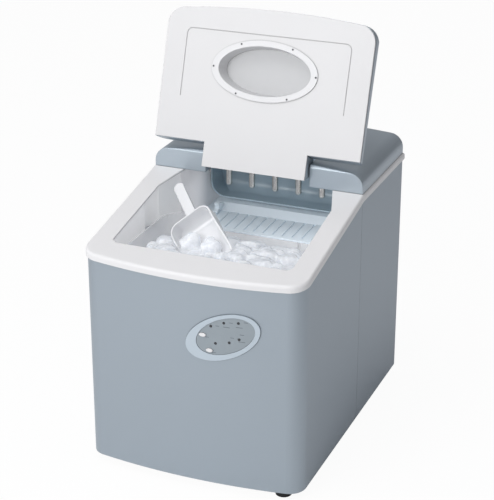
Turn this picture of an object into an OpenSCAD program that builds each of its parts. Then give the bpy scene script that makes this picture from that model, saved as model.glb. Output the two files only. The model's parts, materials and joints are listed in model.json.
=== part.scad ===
// Countertop ice maker with a bowed front, a sloping mouth and a lid that swings up and back.
// Millimetres. +Z is up and the front faces -Y. The origin is on the floor, under the middle.
// The tray is drawn tipped over to drop its ice, and the lid is drawn open against its stop.

/* [Cabinet] */
// Width of the cabinet across its side walls
body_w = 311; // [306:1:318]
// Depth of the cabinet from the crown of the bowed front to the back
body_d = 426; // [422:1:436]
// Height of the metal walls above the floor, at the back
wall_h = 348; // [346:1:360]
// Fall of the sloping mouth towards the front, in degrees
slope_a = 10.4; // [9.8:0.2:10.8]
// Radius of the bowed front
bow_r = 850; // [700:10:1100]
// Radius of the two front corners
corner_r = 24; // [20:1:28]
// Thickness of the sheet metal walls
sheet_t = 1; // [0.8:0.1:1.2]
// Distance from the back to the front face of the top cover
cover_d = 184; // [182:1:186]
// Height of the rubber feet
foot_h = 12; // [8:1:20]
// Largest radius of a foot
foot_r = 13; // [10:1:15]
// Inset of each foot from the side walls
foot_inset = 30; // [29:1:32]
// Gap between the front wrap and the side panels
seam_gap = 0.6; // [0.3:0.1:1]

/* [Bezel and cover] */
// Height of the white rim above the metal walls
lip_h = 9.5; // [8:0.5:12]
// How far the white rim stands proud of the metal walls
lip_over = 2.5; // [1.5:0.5:3]
// Half width of the mouth
mouth_hw = 128; // [127:0.5:129]
// Width of the rim in front of the mouth
ledge_d = 42; // [40:1:44]
// Height of the top cover at its side edges
cover_h = 28.5; // [27:0.5:30]
// Rise of the top cover's crown
crown_h = 5; // [4:0.5:6]
// Radius of the top cover's long side edges
cover_r = 20; // [16:1:22]
// Thickness of the plastic mouldings
skin_t = 2.5; // [2:0.1:3]

/* [Lid] */
// Length of the lid from the cover to the middle of its bowed front edge
lid_l = 190.5; // [186:0.5:194]
// Width of the lid
lid_w = 305; // [300:1:306]
// Half width of the tongue that carries the hinge
tongue_hw = 76.5; // [70:0.5:80]
// Length of the tongue behind the lid's back edge
tongue_l = 33; // [30:1:35]
// Angle that the lid turns from closed to its open stop
lid_open = 119; // [115:0.2:124]
// Thickness of the lid's inner liner
liner_t = 3; // [2:0.5:4]
// Half length of the window's oval flange
win_a = 78; // [74:1:82]
// Half height of the window's oval flange
win_b = 42; // [40:1:44]
// Distance from the lid's back edge to the middle of the window
win_v = 106; // [102:1:108]
// Radius of the hinge pins
pin_r = 3; // [2.5:0.1:3.5]

/* [Control panel] */
// Half length of the oval ring
ring_a = 54.5; // [52:0.5:58]
// Half height of the oval ring
ring_b = 30; // [28:0.5:32]
// Tilt of the oval, in degrees
ring_tilt = 24.5; // [20:0.5:28]
// Distance of the oval's middle from the cabinet's middle
ring_x = 50; // [46:1:54]
// Height of the oval's middle
ring_z = 231; // [226:1:236]
// How far the ring stands proud of the front
ring_proud = 1.8; // [1:0.1:2]
// Inward travel of the buttons
button_travel = 1; // [0.6:0.1:1.2]

/* [Ice works] */
// Number of freezing fingers
finger_n = 5; // [4:1:5]
// Spacing of the fingers
finger_pitch = 35.5; // [34:0.5:36]
// Radius of a finger
finger_r = 4.5; // [4:0.1:5]
// Length of a finger below its header
finger_l = 49; // [46:1:51]
// Distance of the tray's left end from the middle
tray_left = 96; // [95:0.5:96.5]
// Length of the tray
tray_l = 207; // [204:1:208]
// Inside depth of the tray plus its floor
tray_d = 40; // [38:0.5:41]
// Width of the tray across its mouth
tray_w = 50; // [48:0.5:51]
// Radius of the tray's shaft
shaft_r = 4; // [3:0.5:5]
// Forward stroke of the ice shovel
shovel_stroke = 40; // [30:1:42]
// Width of a groove in the slide
slot_w = 3; // [2.5:0.1:3.5]
// Spacing of the grooves in the slide
slot_pitch = 14.5; // [13:0.5:16]

/* [Basket and scoop] */
// Height of the basket
basket_h = 124; // [115:1:127]
// Half width of the basket
basket_hw = 122; // [118:1:123]
// Wall of the basket
basket_t = 2; // [1.5:0.1:2.5]
// Length of the scoop's bowl
bowl_l = 78; // [70:1:84]
// Width of the scoop's bowl
bowl_w = 66; // [58:1:70]
// Length of the scoop's handle
handle_l = 92; // [84:1:96]

/* [Cooling] */
// Radius of the compressor's can
comp_r = 50; // [44:1:52]
// Height of the compressor's can
comp_h = 106; // [96:1:108]
// Height of the condenser block
cond_h = 132; // [120:1:140]
// Radius of the fan
fan_r = 52; // [46:1:54]
// Radius of the refrigerant pipes
pipe_r = 3; // [2.5:0.1:3.2]

/* [Hidden] */
$fn = 48;

// Clearances
fit = 0.3;                  // between pieces that only lie beside each other
run = 0.05;                 // radial, between a shaft and its bore
head_h = 1.8;               // height of a screw head
cut = 1;                    // how far a cutting shape passes a face

// Cabinet frame
front_y = (lip_over - body_d - head_h)/2;
back_y = front_y + body_d;
cover_y = back_y - cover_d;         // front face of the top cover, and the kink in the wall
strip_z = wall_h + lip_h;           // underside of the top cover
bezel_t = 3;                        // thickness of the rim's top plate
seam_y = cover_y;                   // seam between the front wrap and the side panels
mouth_y = front_y + ledge_d;        // front edge of the mouth
mouth_back = 134;                   // back edge of the opening, under the cover
mouth_back_hw = 112;                // its half width under the cover
taper_y = -20;                      // where the mouth starts to narrow

// Tub that holds the basket, the slide and the water
tub_t = 2.5;
tub_hw = mouth_hw + 3;
tub_front = mouth_y - 1;
tub_back = mouth_back + 2;
tub_floor = 140;
tub_r = 24;
rail_z = 180;                       // top of the rails that carry the basket
pocket_r = 28;                      // hollow in the tub's left wall
pocket_x = -tub_hw + 16;
pocket_y = -37;
pocket_z = 284;

// Lid and hinge
lid_gap = 0.5;
lid_y = cover_y - lid_gap;          // back edge of the closed lid
lid_z = strip_z + lid_gap;          // underside of the closed lid at its back edge
hinge_y = lid_y + 11;
hinge_z = lid_z + 25.3;
lid_bow = 1200;
lid_corner = 25;
lid_tilt = 2.5;                     // how much more the lid's top falls than its underside
side_rise = 2;                      // how much the rounding of its sides rises to the front
lid_edge_r = 9;
lid_rear_h = cover_h + crown_h - lid_gap;
cone_a = 62;                        // half length and half height of the window's pane
cone_b = 33;
win_depth = 17;

// Ice works
pivot_y = 98;
pivot_z = 340.4;
tray_over = 8;                      // tray's back edge and rim past its pivot
tray_t = 2;
tray_r = 18;
finger_y = pivot_y - (tray_w/2 - tray_over);
header_z = 371;
header_r = 5;
finger_x0 = 7.5 - finger_pitch*(finger_n - 1)/2;
tray_right = tray_l - tray_left;
leg_left = finger_x0 - 10;          // pipes that carry the header, behind the tub
leg_right = finger_x0 + finger_pitch*(finger_n - 1) + 22;
leg_y = tub_back + tub_t + 12;
under_bezel = wall_h + lip_h - bezel_t - fit;
slide_a = 1.5;
slide_t = 3;
slide_y = 12;                       // front lip of the slide
slide_z = 282.5;                    // top of the slide at its lip
slide_left = -97;
crease_y = 72;                      // foot of the shovel's face
function slide_top(y) = slide_z + (y - slide_y)*tan(slide_a);
function wall_z(y) = y > cover_y ? wall_h : wall_h - (cover_y - y)*tan(slope_a);

// Basket
basket_front = mouth_y + 4;
basket_back = 9.5;
basket_z = rail_z + fit;
basket_draft = 0.14;                // the front wall leans as the basket lifts out
low_hw = 62;                        // reach of its low back wall towards the left
slit_x = 70;
low_z = 281;

// Fan, compressor and condenser
pan_t = 1.2;
pan_z = foot_h + pan_t;
comp_x = 83.5 - body_w/2;
comp_y = back_y - 63.35;
comp_z = pan_z + 8;
cond_x = 70;
cond_w = 136;
cond_t = 22;
cond_y = back_y - 30;
cond_z = pan_z + 8;
fan_z = cond_z + cond_h/2;
fan_y = cond_y - 12;

// ---------------------------------------------------------------- shared shapes

// Flat outline: straight sides and back, a bowed front and two rounded front corners.
module bowed(w, back, front, bow, corner) {
    cx = w/2 - corner;
    bow_y = front + bow;
    cy = bow_y - sqrt((bow - corner)*(bow - corner) - cx*cx);
    reach = 1 + 2.5*corner/(bow - corner);
    far_x = cx*reach;
    far_y = bow_y - (bow_y - cy)*reach;
    intersection() {
        translate([0, bow_y]) circle(r = bow, $fn = 360);
        polygon([[-cx, cy], [-far_x, far_y], [far_x, far_y], [cx, cy]]);
    }
    for (s = [-1, 1]) translate([s*cx, cy]) circle(r = corner);
    translate([-w/2, cy]) square([w, back - cy]);
}

// Corner points of the same outline, clockwise from above, with its curves cut into flats.
function bow_points(w, back, front, bow, corner, n = 6) =
    let(cx = w/2 - corner, mid = front + bow, cy = mid - sqrt((bow - corner)*(bow - corner) - cx*cx),
        end = atan2(cy - mid, cx),
        side = [for (i = [0 : n]) [cx, cy] + corner*[cos(end*i/n), sin(end*i/n)]],
        arc = [for (i = [1 : 2*n - 1]) let(a = end - (180 + 2*end)*i/(2*n)) [bow*cos(a), mid + bow*sin(a)]])
    concat([[w/2, back]], side, arc, [for (i = [n : -1 : 0]) [-side[i].x, side[i].y]], [[-w/2, back]]);

// Flat rectangle with rounded corners, centred on x, from y0 to y1.
module rounded(hw, y0, y1, r) {
    for (s = [-1, 1], y = [y0 + r, y1 - r]) translate([s*(hw - r), y]) circle(r = r);
    translate([-hw, y0 + r]) square([2*hw, y1 - y0 - 2*r]);
    translate([r - hw, y0]) square([2*(hw - r), y1 - y0]);
}

// Plan of the cabinet, drawn in by inset.
module plan(inset = 0) {
    bowed(body_w - 2*inset, back_y - inset, front_y + inset, bow_r - inset, corner_r - inset);
}

function plan_points(inset) = bow_points(body_w - 2*inset, back_y - inset, front_y + inset,
    bow_r - inset, corner_r - inset, 8);

// Corner points of a rectangle, clockwise from above, with radius rb at the back and rf at the front.
function corner_points(hw, front, back, rf, rb, n = 8) = [for (c = [[1, back - rb, rb, 90],
        [1, front + rf, rf, 0], [-1, front + rf, rf, -90], [-1, back - rb, rb, -180]], i = [0 : n])
    let(a = c[3] - 90*i/n) [c[0]*(hw - c[2]) + c[2]*cos(a), c[1] + c[2]*sin(a)]];

function raised(points, z) = [for (p = points) [p.x, p.y, z]];

// Solid skinned over rings of equally many points, each clockwise, from the lowest ring up. The
// caps list the flat faces that close the lowest and the highest ring.
module skinned(rings, caps = []) {
    n = len(rings[0]);
    last = (len(rings) - 1)*n;
    ends = len(caps) > 0 ? caps : [[for (i = [0 : n - 1]) i]];
    polyhedron([for (r = rings) each r], concat(
        [for (c = ends) [for (i = [len(c) - 1 : -1 : 0]) c[i]]],
        [for (c = ends) [for (i = c) last + i]],
        [for (a = [0 : last - 1]) let(b = a%n == n - 1 ? a + 1 - n : a + 1)
            each [[a, b, a + n], [b, b + n, a + n]]]));
}

// Prism along X with a profile given as (y, z) points.
module along_x(half, pts) {
    rotate([90, 0, 90]) translate([0, 0, -half]) linear_extrude(2*half) polygon(pts);
}

// Everything below the sloping mouth and the flat back, moved up by rise.
module below_mouth(rise = 0, z0 = 0) {
    y0 = front_y - 20;
    y1 = back_y + 20;
    along_x(body_w, [[y0, z0], [y1, z0], [y1, wall_h + rise], [cover_y, wall_h + rise],
        [y0, wall_z(y0) + rise]]);
}

// A round bar between two points.
module bar(a, b, r) {
    d = b - a;
    l = norm(d);
    translate(a) rotate([0, acos(d.z/l), atan2(d.y, d.x)]) cylinder(r = r, h = l);
}

// A pipe through the points p, with a round joint at each corner.
module pipe(p, r) {
    for (i = [1 : len(p) - 1]) bar(p[i - 1], p[i], r);
    for (i = [1 : len(p) - 2]) translate(p[i]) sphere(r = r + 0.4);
}

// Oval rod along Y.
module oval(a, b, l) {
    rotate([90, 0, 0]) scale([a/b, 1, 1]) cylinder(r = b, h = l, center = true, $fn = 96);
}

// ---------------------------------------------------------------- cabinet

foot_x = body_w/2 - foot_inset;
foot_front = front_y + foot_inset;
left_setback = 12;                  // the left front foot stands further back
foot_back = back_y - foot_inset;
foot_hole = 2.3;
foot_recess = 5;

module at_feet() {
    for (p = [[foot_x, foot_front], [-foot_x, foot_front + left_setback], [foot_x, foot_back],
            [-foot_x, foot_back]]) {
        translate([p.x, p.y, 0]) children();
    }
}

module base_pan() {
    rim_h = 8;
    gap = sheet_t + fit;
    color("gainsboro") difference() {
        translate([0, 0, foot_h]) linear_extrude(rim_h) plan(gap);
        translate([0, 0, pan_z]) linear_extrude(rim_h) plan(gap + pan_t);
        at_feet() translate([0, 0, foot_h - cut]) cylinder(r = foot_hole, h = pan_t + 2*cut);
    }
}

module feet() {
    color([0.08, 0.08, 0.09]) at_feet() difference() {
        cylinder(r1 = foot_r - 2, r2 = foot_r, h = foot_h);
        translate([0, 0, -cut]) cylinder(r = foot_hole, h = foot_h + 2*cut);
        translate([0, 0, -cut]) cylinder(r = foot_recess, h = foot_h/2 + cut);
    }
}

module foot_screws() {
    color("silver") at_feet() {
        translate([0, 0, foot_h/2 - head_h]) cylinder(r = foot_recess - fit, h = head_h);
        translate([0, 0, foot_h/2]) cylinder(r = foot_hole - fit, h = foot_h/2 + pan_t + 2);
        translate([0, 0, pan_z]) cylinder(r = foot_recess, h = 2.5, $fn = 6);
    }
}

module front_wrap() {
    color([0.62, 0.66, 0.69]) difference() {
        intersection() {
            difference() {
                translate([0, 0, foot_h]) linear_extrude(wall_h) plan();
                translate([0, 0, foot_h - cut]) linear_extrude(wall_h) plan(sheet_t);
            }
            below_mouth();
            translate([-body_w, front_y - 20, 0]) cube([2*body_w, seam_y - front_y + 20, 2*wall_h]);
        }
        translate([ring_x, front_y, ring_z]) rotate([0, -ring_tilt, 0]) {
            oval(ring_a - 3, ring_b - 3, 60);
        }
    }
}

vent_n = 12;
vent_pitch = 9;
vent_w = 4;

module side_panel(s) {
    flange = 14;
    y0 = seam_y + seam_gap;
    depth = back_y - y0;
    difference() {
        translate([s*body_w/2, y0, foot_h]) mirror([s > 0 ? 1 : 0, 0, 0]) {
            cube([sheet_t, depth, wall_h - foot_h]);
            translate([0, depth - sheet_t, 0]) cube([flange, sheet_t, wall_h - foot_h]);
        }
        at_rear_screws() translate([0, 0, -10]) cylinder(r = screw_r + fit, h = 20);
    }
}

module side_panel_left() {
    color([0.5, 0.54, 0.57]) difference() {
        side_panel(-1);
        for (i = [0 : vent_n - 1]) {
            translate([-body_w/2 - cut, comp_y - 45, 150 + i*vent_pitch]) {
                cube([sheet_t + 2*cut, 90, vent_w]);
            }
        }
        translate([-body_w/2 - cut, drain_y, drain_z]) rotate([0, 90, 0]) {
            cylinder(r = drain_r + 1, h = sheet_t + 2*cut);
        }
    }
}

module side_panel_right() {
    color([0.5, 0.54, 0.57]) side_panel(1);
}

panel_y = back_y - sheet_t - fit;       // outer face of the rear panel
panel_hw = body_w/2 - sheet_t - fit;
inlet_x = 35.5 - body_w/2;
inlet_z = 44;
screw_r = 1.6;

module at_rear_screws() {
    for (s = [-1, 1], z = [foot_h + 30, wall_h/2 + 5, wall_h - 22]) {
        translate([s*(body_w/2 - 8), back_y, z]) rotate([-90, 0, 0]) children();
    }
}

module rear_panel() {
    slots = 22;
    slot_gap = 5.6;
    color([0.62, 0.64, 0.66]) difference() {
        translate([-panel_hw, panel_y - sheet_t, foot_h + 8 + fit]) {
            cube([2*panel_hw, sheet_t, wall_h - foot_h - 8 - 2*fit]);
        }
        for (i = [0 : slots - 1], row = [0, 1]) {
            translate([cond_x + (i - (slots - 1)/2)*slot_gap - 1.5, panel_y - sheet_t - cut,
                    cond_z + 4 + row*cond_h/2]) {
                cube([3, sheet_t + 2*cut, cond_h/2 - 8]);
            }
        }
        for (i = [0 : 13], row = [0, 1]) {
            translate([-110 + i*15, panel_y - sheet_t - cut, 250 + row*34]) {
                cube([6, sheet_t + 2*cut, 26]);
            }
        }
        translate([inlet_x - 14, panel_y - sheet_t - cut, inlet_z - 10.5]) {
            cube([28, sheet_t + 2*cut, 21]);
        }
        at_rear_screws() translate([0, 0, -10]) cylinder(r = screw_r + fit, h = 20);
    }
}

module panel_screws() {
    color("silver") at_rear_screws() {
        cylinder(r1 = 3.6, r2 = 2.8, h = head_h);
        translate([0, 0, -7]) cylinder(r = screw_r, h = 7 + cut);
    }
}

// The bezel's outline at height h above the walls: level under the top cover, sloping before it.
function bezel_ring(h, inset) = let(p = plan_points(inset), n = len(p))
    [for (q = concat([p[0], [p[0].x, cover_y]], [for (i = [1 : n - 2]) p[i]],
            [[p[n - 1].x, cover_y], p[n - 1]]))
        [q.x, q.y, wall_h + h + min(0, q.y - cover_y)*tan(slope_a)]];

module bezel() {
    rings = [for (l = [[-6, 0], [lip_h - 3.5, 0], [lip_h - 1.7, 0.6], [lip_h - 0.6, 1.6], [lip_h, 3]])
        bezel_ring(l[0], l[1] - lip_over)];
    n = len(rings[0]);
    color([0.93, 0.93, 0.94]) difference() {
        skinned(rings, [[0, 1, n - 2, n - 1], [for (i = [1 : n - 2]) i]]);
        below_mouth();
        intersection() {
            below_mouth(lip_h - bezel_t);
            linear_extrude(2*wall_h) plan(sheet_t + fit);
        }
        translate([0, 0, 250]) linear_extrude(200) mouth();
        for (x = [leg_left, leg_right]) translate([x, leg_y, 300]) cylinder(r = header_r + 2, h = 100);
    }
}

// The mouth, which narrows under the top cover.
module mouth() {
    r = 10;
    hw = mouth_hw;
    for (s = [-1, 1]) translate([s*(hw - r), mouth_y + r]) circle(r = r);
    polygon([[-hw, mouth_y + r], [r - hw, mouth_y + r], [r - hw, mouth_y], [hw - r, mouth_y],
        [hw - r, mouth_y + r], [hw, mouth_y + r], [hw, taper_y], [mouth_back_hw, cover_y],
        [mouth_back_hw, mouth_back], [-mouth_back_hw, mouth_back], [-mouth_back_hw, cover_y],
        [-hw, taper_y]]);
}

// Section of the crowned top, standing on z = 0, drawn in by inset.
module crowned(w, h, inset = 0) {
    crown_r = (w/2 - cover_r)*(w/2 - cover_r)/(2*crown_h);
    polygon(bow_points(w - 2*inset, 0, inset - h, crown_r - inset, cover_r - inset, 8));
}

notch_hw = tongue_hw + 1.5;
notch_back = lid_y + tongue_l + 4;

module top_cover() {
    full_h = cover_h + crown_h;
    color([0.58, 0.63, 0.68]) difference() {
        union() {
            difference() {
                translate([0, cover_y, strip_z]) rotate([-90, 0, 0]) {
                    linear_extrude(cover_d) crowned(body_w, full_h);
                }
                difference() {
                    translate([0, cover_y + skin_t, strip_z]) rotate([-90, 0, 0]) {
                        linear_extrude(cover_d - 2*skin_t) union() {
                            crowned(body_w, full_h, skin_t);
                            translate([skin_t - body_w/2, -cut]) square([body_w - 2*skin_t, 2*cut]);
                        }
                    }
                    translate([-notch_hw - skin_t, cover_y, strip_z]) {
                        cube([2*(notch_hw + skin_t), notch_back + skin_t - cover_y, 2*full_h]);
                    }
                    for (s = [-1, 1]) translate([s*(notch_hw + 6), hinge_y, hinge_z]) {
                        rotate([0, 90, 0]) cylinder(r = pin_r + 3, h = 14, center = true);
                    }
                }
            }
        }
        translate([-notch_hw, cover_y - cut, strip_z - cut]) {
            cube([2*notch_hw, notch_back - cover_y + cut, 2*full_h]);
        }
        for (s = [-1, 1]) translate([s*(notch_hw + 5), hinge_y, hinge_z]) rotate([0, 90, 0]) {
            cylinder(r = pin_r + run, h = 20, center = true);
        }
        // Room for the lid's back edge as it swings past
        along_x(body_w, [[cover_y - cut, hinge_z + 2.4 - cut], [cover_y + 8, hinge_z + 10.4],
            [cover_y - cut, hinge_z + 20]]);
    }
}

module hinge_pins() {
    color("silver") for (s = [-1, 1]) {
        translate([s*(notch_hw + 1), hinge_y, hinge_z]) rotate([0, 90, 0]) {
            cylinder(r = pin_r, h = 22, center = true);
        }
    }
}

// ---------------------------------------------------------------- tub

module tub_plan(grow = 0) {
    rounded(tub_hw + grow, tub_front - grow, 0, tub_r + grow);
    translate([-tub_hw - grow, -tub_r - grow - 1]) {
        square([2*(tub_hw + grow), tub_back + tub_r + 2*grow + 1]);
    }
}

module tub_pocket(grow = 0) {
    intersection() {
        translate([pocket_x, pocket_y, pocket_z - grow]) cylinder(r = pocket_r + grow, h = 200);
        translate([-body_w/2, pocket_y - 60, 0]) cube([body_w/2 - tub_hw + 5, 120, 500]);
    }
}

module tub() {
    rise = lip_h - bezel_t - fit;
    flange_t = 2;
    drain_hole = 5;
    color([0.91, 0.91, 0.92]) difference() {
        intersection() {
            union() {
                translate([0, 0, tub_floor - tub_t]) linear_extrude(300) tub_plan(tub_t);
                tub_pocket(tub_t);
                difference() {
                    linear_extrude(500) tub_plan(tub_t + 6);
                    below_mouth(rise - flange_t);
                }
            }
            below_mouth(rise);
        }
        translate([0, 0, tub_floor]) linear_extrude(400) tub_plan();
        tub_pocket();
        translate([-110, 40, tub_floor - tub_t - cut]) cylinder(r = drain_hole, h = tub_t + 2*cut);
    }
    color([0.91, 0.91, 0.92]) {
        for (s = [-1, 1], y = [-130, -24]) {
            translate([s*(tub_hw - 9) - 9, y, tub_floor]) cube([18, 30, rail_z - tub_floor]);
        }
        // Ledges under the slide, along the back wall and the right wall
        for (l = [[-90, tub_hw, tub_back - 6, tub_back], [tub_hw - 4, tub_hw, slide_y + 20, tub_back]]) {
            translate([(l[0] + l[1])/2, 0, 0]) under_slide((l[1] - l[0])/2, l[2], l[3]);
        }
    }
}

module insulation() {
    bottom_t = 15;
    side = body_w/2 - sheet_t - 5;
    y0 = front_y + 21;
    color([0.86, 0.86, 0.82]) difference() {
        translate([0, 0, tub_floor - tub_t - bottom_t]) linear_extrude(175) rounded(side, y0, 88, 22);
        translate([0, 0, tub_floor - tub_t - fit]) linear_extrude(300) tub_plan(tub_t + fit);
        tub_pocket(tub_t + fit);
        translate([-110, 40, 0]) cylinder(r = 9, h = 200);
    }
}

// ---------------------------------------------------------------- lid

// Moves a shape drawn on the lid's own plane to the open lid. The lid's underside is z = 0,
// its back edge is y = 0 and its front lies towards -Y.
module on_lid() {
    translate([0, hinge_y, hinge_z]) rotate([-lid_open, 0, 0]) {
        translate([0, lid_y - hinge_y, lid_z - hinge_z]) rotate([slope_a, 0, 0]) children();
    }
}

// Undoes the slope, for shapes that are square to the cabinet when the lid is closed.
module level_on_lid() {
    rotate([-slope_a, 0, 0]) children();
}

module lid_outline(inset = 0, back = 0) {
    bowed(lid_w - 2*inset, back, inset - lid_l, lid_bow - inset, lid_corner - inset);
}

// The lid's outline at height z on its liner's plane, leaning with its top by lean.
function lid_ring(inset, z, lean) = [for (p = bow_points(lid_w - 2*inset, 10, inset - lid_l,
    lid_bow - inset, lid_corner - inset)) [p.x, p.y, z + p.y*lean]];

// The lid's outside, drawn in by inset: rounded along its edge, crowned, and square at the back.
module lid_form(inset = 0) {
    top = lid_rear_h + 1 - inset;
    r = lid_edge_r - inset;
    intersection() {
        skinned(concat([lid_ring(inset, liner_t, 0)], [for (q = [0, 30, 60, 90])
            lid_ring(inset + r*(1 - cos(q)), top - r + r*sin(q), tan(lid_tilt))]));
        rotate([-side_rise, 0, 0]) translate([0, -lid_l - 20, 0]) rotate([-90, 0, 0]) {
            linear_extrude(lid_l + 60) crowned(lid_w, lid_rear_h, inset);
        }
        level_on_lid() translate([0, -inset, -inset]) along_x(lid_w, [[-2*lid_l, -100], [0, -100],
            [0, lid_rear_h - 8], [-1.2, lid_rear_h - 4.2], [-4.4, lid_rear_h - 1.2], [-8, lid_rear_h + 1],
            [-8, 100], [-2*lid_l, 100]]);
    }
}

// The tongue behind the lid, square to the cabinet when closed.
module tongue_form(inset = 0) {
    hw = tongue_hw - inset;
    r = 12;
    top = lid_rear_h - 3 - inset;
    end = tongue_l - inset;
    level_on_lid() along_x(hw, [[-2, liner_t - 1], [end, 6 + liner_t], [end - 4.5, top - r],
        [end - 4.5 - r*0.3, top - r*0.3], [end - 4.5 - r, top], [-2, top]]);
}

module window_bore(a, b, z0, z1) {
    translate([0, -win_v, z0]) scale([a/b, 1, 1]) cylinder(r = b, h = z1 - z0, $fn = 96);
}

module lid_shell() {
    pin_y = hinge_y - lid_y;
    pin_z = hinge_z - lid_z;
    wall = 2.4;
    color([0.52, 0.57, 0.61]) on_lid() difference() {
        union() {
            difference() {
                lid_form();
                difference() {
                    translate([0, 0, -0.1]) lid_form(wall);
                    window_bore(cone_a - 1, cone_b - 1, win_depth + 3, 60);
                }
            }
            difference() {
                tongue_form();
                difference() {
                    tongue_form(wall);
                    level_on_lid() for (s = [-1, 1]) {
                        translate([s*tongue_hw, pin_y, pin_z]) rotate([0, 90, 0]) {
                            cylinder(r = pin_r + 3, h = 26, center = true);
                        }
                    }
                }
            }
        }
        level_on_lid() for (s = [-1, 1]) translate([s*tongue_hw, pin_y, pin_z]) {
            rotate([0, 90, 0]) cylinder(r = pin_r + run, h = 24, center = true);
        }
        window_bore(cone_a - 3, cone_b - 3, 10, 60);
        translate([0, 0, -50]) linear_extrude(50 + liner_t + 0.1) square([400, 600], center = true);
    }
}

module lid_liner() {
    groove = 0.7;
    line_hw = 121.5;
    line_back = -60;
    line_front = -156;
    color([0.94, 0.94, 0.95]) on_lid() difference() {
        union() {
            linear_extrude(liner_t) lid_outline(0.4, -0.3);
            linear_extrude(liner_t) translate([-tongue_hw, -5]) square([2*tongue_hw, tongue_l + 6.5]);
        }
        window_bore(win_a - 5, win_b - 5, -cut, liner_t + cut);
        translate([0, 0, -cut]) linear_extrude(cut + groove) difference() {
            rounded(line_hw, line_front, 20, 9);
            rounded(line_hw - 1.2, line_front + 1.2, 18, 8);
            translate([-200, line_back]) square([400, 400]);
        }
    }
}

ring_t = 1.6;

module at_window_screws() {
    for (i = [0 : 5]) {
        translate([(win_a - 2.6)*cos(60*i), -win_v + (win_b - 2.6)*sin(60*i), 0]) children();
    }
}

module window_ring() {
    seat = win_depth + 1;
    mid = (win_a - 6)/(win_b - 6);
    color([0.95, 0.95, 0.96]) on_lid() difference() {
        union() {
            window_bore(win_a, win_b, -ring_t, 0);
            translate([0, -win_v, -0.5]) scale([mid, 1, 1]) {
                cylinder(r1 = win_b - 6, r2 = cone_b + 1, h = seat + 0.5, $fn = 96);
            }
        }
        translate([0, -win_v, -ring_t - 0.01]) scale([mid, 1, 1]) {
            cylinder(r1 = win_b - 8, r2 = cone_b - 1.5, h = seat + ring_t + 0.02, $fn = 96);
        }
        at_window_screws() translate([0, 0, -5]) cylinder(r = 0.8, h = 10);
    }
}

module window_screws() {
    color([0.3, 0.31, 0.33]) on_lid() at_window_screws() {
        translate([0, 0, -ring_t - 0.5]) cylinder(r = 1.2, h = 0.5);
        translate([0, 0, -ring_t]) cylinder(r = 0.8, h = ring_t);
    }
}

module window_pane() {
    color([0.8, 0.81, 0.82, 0.6]) on_lid() {
        window_bore(cone_a + 2, cone_b + 1, win_depth + 1, win_depth + 3);
    }
}

module window_trim() {
    color([0.5, 0.54, 0.58]) on_lid() difference() {
        window_bore(cone_a - 3.3, cone_b - 3.3, win_depth + 3, win_depth + 8);
        window_bore(cone_a - 6.5, cone_b - 6.5, win_depth, win_depth + 10);
    }
}

// ---------------------------------------------------------------- control panel

// Skin that follows the bowed front, from proud outside it to depth behind it.
module front_skin(proud, depth) {
    intersection() {
        linear_extrude(500) difference() {
            plan(-proud);
            plan(depth);
        }
        translate([-body_w, front_y - 30, 0]) cube([2*body_w, 60, 500]);
    }
}

panel_x = ring_x + 4;
panel_z = ring_z + 2.5;
panel_a = ring_a - 11.7;
panel_b = ring_b - 6;
button_a = 4.7;
button_b = 2.6;
buttons = [[-27, 0.6], [-17.5, -20.2]];
leds = [[-15.5, 14.5], [2.2, 21.5], [22, 24], [-9.2, -9.2], [9.6, -5.5], [22.9, 1]];
led_r = 1.9;
board_y = front_y + 17;

module at_panel(p) {
    translate([ring_x + p.x, front_y, ring_z + p.y]) children();
}

module panel_oval(shrink, l = 60) {
    translate([panel_x, front_y, panel_z]) rotate([0, -ring_tilt, 0]) {
        oval(panel_a - shrink, panel_b - shrink, l);
    }
}

module control_ring() {
    color([0.75, 0.8, 0.84]) difference() {
        union() {
            intersection() {
                front_skin(ring_proud, 0);
                translate([ring_x, front_y, ring_z]) rotate([0, -ring_tilt, 0]) {
                    oval(ring_a, ring_b, 60);
                }
            }
            intersection() {
                front_skin(0.5, 4);
                translate([ring_x, front_y, ring_z]) rotate([0, -ring_tilt, 0]) {
                    oval(ring_a - 3 - fit, ring_b - 3 - fit, 60);
                }
            }
        }
        panel_oval(0);
    }
}

module control_overlay() {
    color([0.6, 0.64, 0.67]) difference() {
        intersection() {
            front_skin(ring_proud - 0.6, 4);
            panel_oval(fit);
        }
        for (p = buttons) at_panel(p) oval(button_a + fit, button_b + fit, 60);
        for (p = leds) at_panel(p) rotate([90, 0, 0]) {
            cylinder(r = led_r + 0.1, h = 60, center = true);
        }
    }
}

module led_lenses() {
    color([0.12, 0.13, 0.15]) for (p = leds) intersection() {
        front_skin(ring_proud - 0.4, 6);
        at_panel(p) rotate([90, 0, 0]) cylinder(r = led_r, h = 60, center = true);
    }
}

module button(p) {
    stem_r = 1.6;
    cap_front = front_y + p_drop(p) - ring_proud - 0.6;
    color([0.95, 0.95, 0.95]) {
        translate([ring_x + p.x, cap_front + 2.5, ring_z + p.y]) oval(button_a, button_b, 5);
        translate([ring_x + p.x, board_y - 3 - button_travel - fit, ring_z + p.y]) {
            rotate([90, 0, 0]) cylinder(r = stem_r, h = board_y - 3 - button_travel - fit
                - cap_front - 2);
        }
    }
}

// How far the bowed front has fallen back at a button.
function p_drop(p) = bow_r - sqrt(bow_r*bow_r - (ring_x + p.x)*(ring_x + p.x));

module power_button() {
    button(buttons[0]);
}

module select_button() {
    button(buttons[1]);
}

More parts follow.
